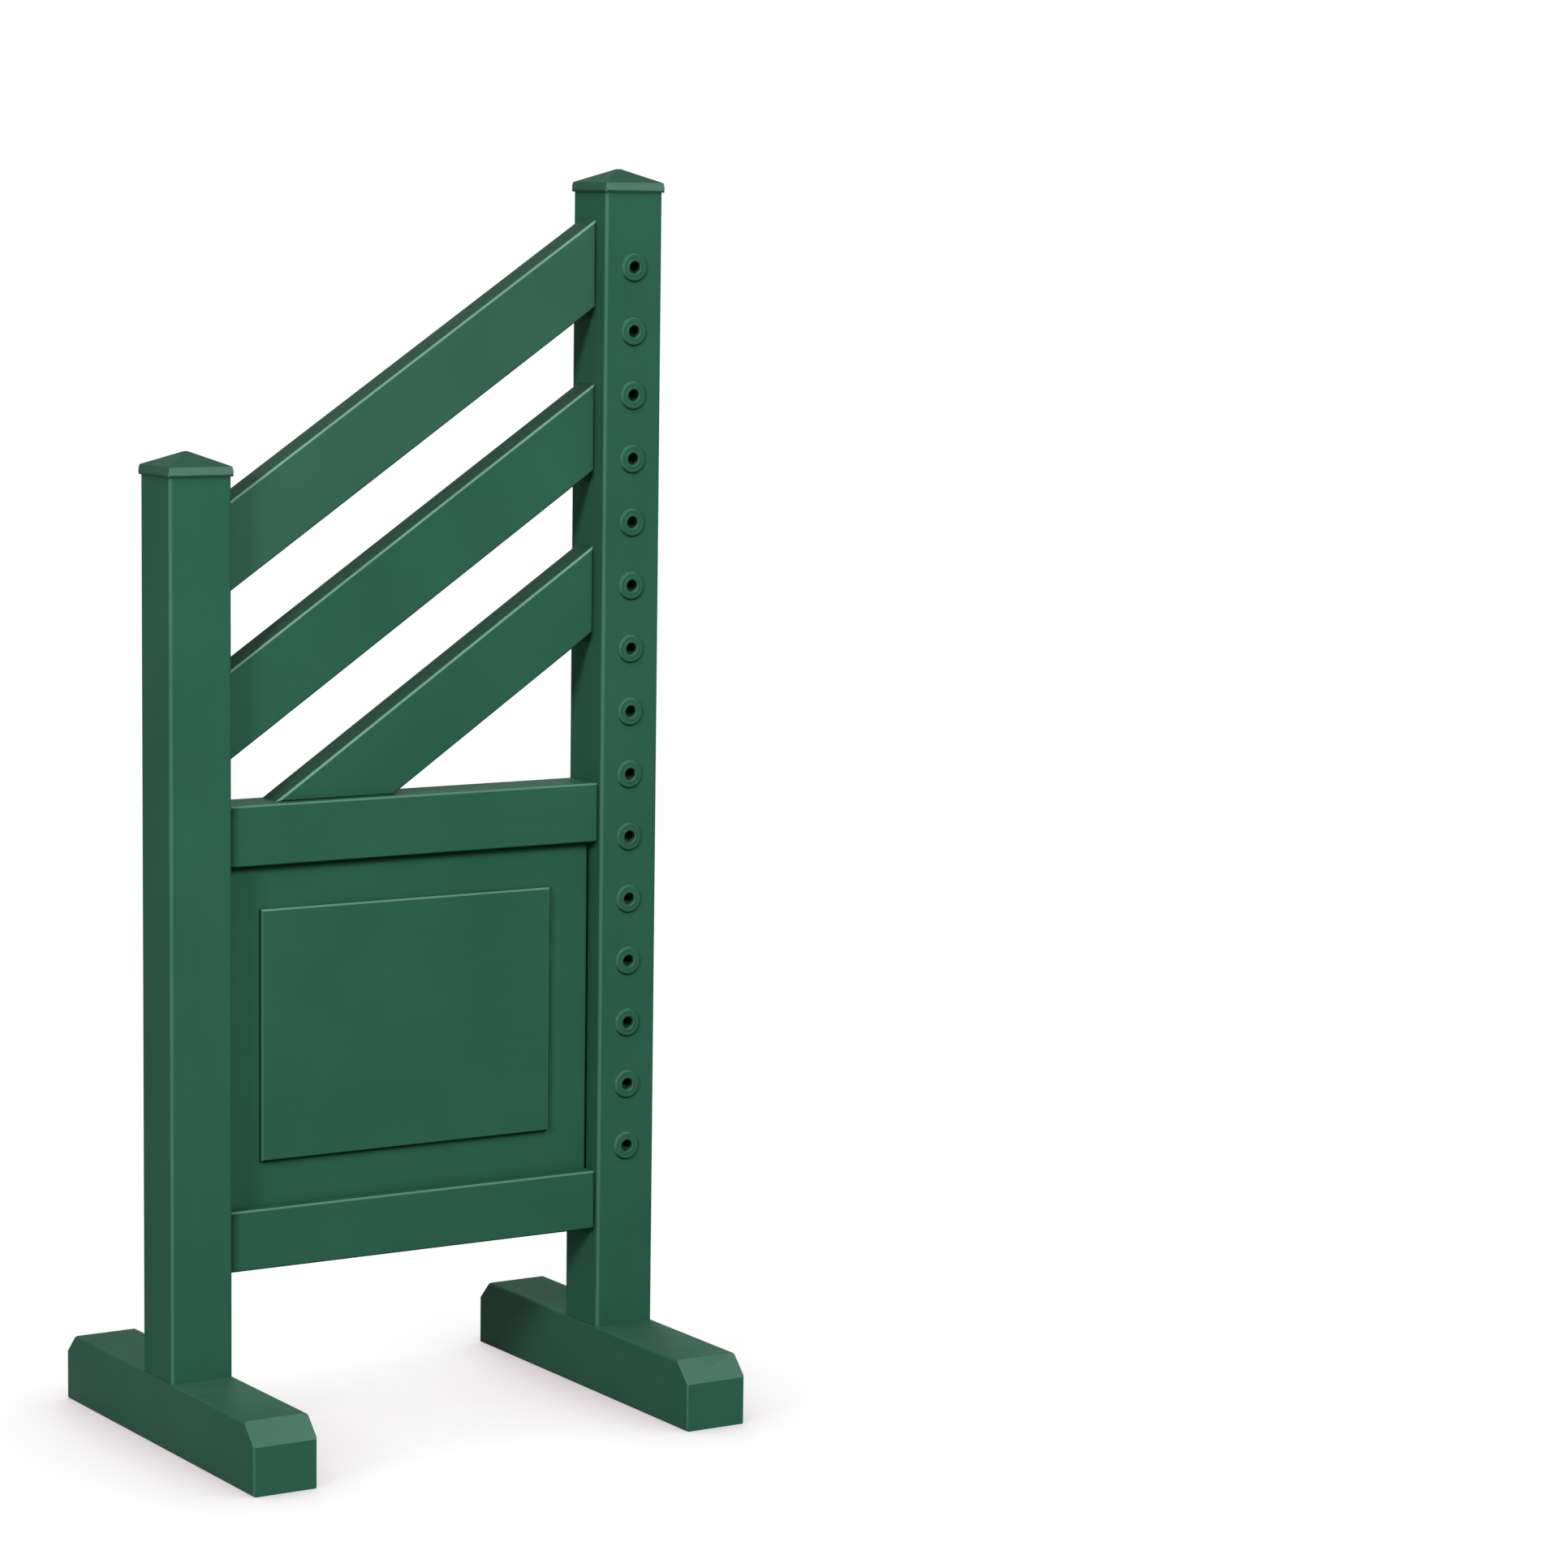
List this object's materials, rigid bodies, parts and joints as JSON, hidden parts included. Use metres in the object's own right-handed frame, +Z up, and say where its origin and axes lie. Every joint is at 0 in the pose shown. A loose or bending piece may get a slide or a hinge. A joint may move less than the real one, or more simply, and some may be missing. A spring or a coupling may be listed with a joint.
{
  "type": "show jump wing",
  "caption": "Free-standing show jump wing: a short and a tall square post on cross feet, joined by rails, a panel and sloping slats, with bushed pin holes for jump cups.",
  "frame": {"origin": "on the floor, midway between the two posts and midway between front and back", "axes": "+X from the short post to the tall post, -Y is the front, +Z up"},
  "size_m": [0.653, 0.508, 1.4875],
  "materials": {
    "wing_green": "satin",
    "foot_green": "satin",
    "bush_green": "satin",
    "inner_plug": "matte",
    "zinc_steel": "zinc plated",
    "insert_brass": "plain"
  },
  "bodies": {
    "root": {"short_post": "wing_green", "tall_post": "wing_green", "short_post_cap": "wing_green", "tall_post_cap": "wing_green", "short_post_foot": "foot_green", "tall_post_foot": "foot_green", "upper_rail": "wing_green", "lower_rail": "wing_green", "infill_panel": "wing_green", "front_field": "wing_green", "back_field": "wing_green", "top_slat": "wing_green", "middle_slat": "wing_green", "lower_slat": "wing_green", "front_pin_bushes": "bush_green", "back_pin_bushes": "bush_green", "rail_plugs": "inner_plug", "slat_post_plugs": "inner_plug", "slat_rail_plug": "inner_plug", "short_post_base_plug": "inner_plug", "tall_post_base_plug": "inner_plug", "foot_bolts": "zinc_steel", "foot_washers": "zinc_steel", "thread_inserts": "insert_brass"}
  },
  "joints": []
}
